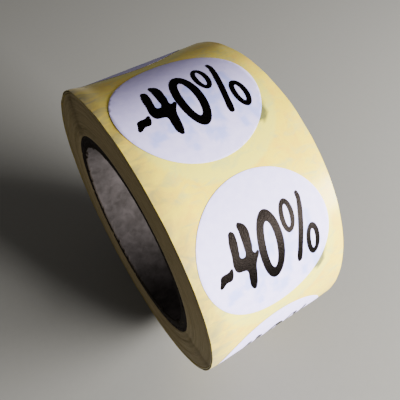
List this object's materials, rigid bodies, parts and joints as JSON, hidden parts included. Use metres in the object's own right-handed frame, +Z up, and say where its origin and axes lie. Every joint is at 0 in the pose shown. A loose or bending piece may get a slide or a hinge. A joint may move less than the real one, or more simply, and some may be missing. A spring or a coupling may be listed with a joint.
{
  "type": "roll of round paper labels",
  "caption": "Roll of round percent-off paper labels on a glassine liner, wound on a cardboard core and standing on its rim, with a free end and peelable labels.",
  "frame": {"origin": "on the resting surface, under the middle of the roll's box", "axes": "+X along the core's axis, in the direction the labels are read; +Z up; the labels' text side faces -Y"},
  "size_m": [0.029, 0.0618, 0.0611],
  "materials": {
    "label_paper": "matte coated white label paper with a faint lavender cast",
    "black_ink": "black printing ink on label paper, slightly glossy",
    "liner_glassine": "yellow silicone-coated glassine, satin and slightly translucent",
    "web_edge": "cut edges of many turns of liner and labels, fine lines",
    "core_board": "uncoated grey-brown spiral-wound board",
    "paper_tape": "brown paper tape"
  },
  "bodies": {
    "roll": {"core_inner_ply": "core_board", "core_middle_ply": "core_board", "core_outer_ply": "core_board", "start_tape": "paper_tape", "wound_pack": "web_edge", "second_wrap": "liner_glassine", "outer_wrap": "liner_glassine", "label_6": "label_paper", "label_7": "label_paper", "under_label_1": "label_paper", "under_label_2": "label_paper", "under_label_3": "label_paper", "under_label_4": "label_paper", "under_label_5": "label_paper", "under_label_6": "label_paper", "under_label_7": "label_paper"},
    "free_end": {"free_end": "liner_glassine"},
    "label_1": {"label_1": "label_paper"},
    "label_2": {"label_2": "label_paper"},
    "label_3": {"label_3": "label_paper"},
    "label_4": {"label_4": "label_paper"},
    "label_5": {"label_5": "label_paper"}
  },
  "joints": [
    {"name": "free_end_lift", "type": "hinge", "parent": "roll", "child": "free_end", "pos_m": [0, 0.02992, 0.03734], "axis": [1, 0, 0], "range_deg": [0, 90]},
    {"name": "label_1_peel", "type": "hinge", "parent": "free_end", "child": "label_1", "pos_m": [0, 0.03043, 0.03591], "axis": [1, 0, 0], "range_deg": [0, 75]},
    {"name": "label_2_peel", "type": "hinge", "parent": "roll", "child": "label_2", "pos_m": [0, 0.01419, 0.05772], "axis": [1, 0, 0], "range_deg": [0, 120]},
    {"name": "label_3_peel", "type": "hinge", "parent": "roll", "child": "label_3", "pos_m": [0, -0.01299, 0.05824], "axis": [1, 0, 0], "range_deg": [0, 120]},
    {"name": "label_4_peel", "type": "hinge", "parent": "roll", "child": "label_4", "pos_m": [0, -0.03002, 0.03705], "axis": [1, 0, 0], "range_deg": [0, 105]},
    {"name": "label_5_peel", "type": "hinge", "parent": "roll", "child": "label_5", "pos_m": [0, -0.03053, 0.0341], "axis": [-1, 0, 0], "range_deg": [0, 105]}
  ]
}
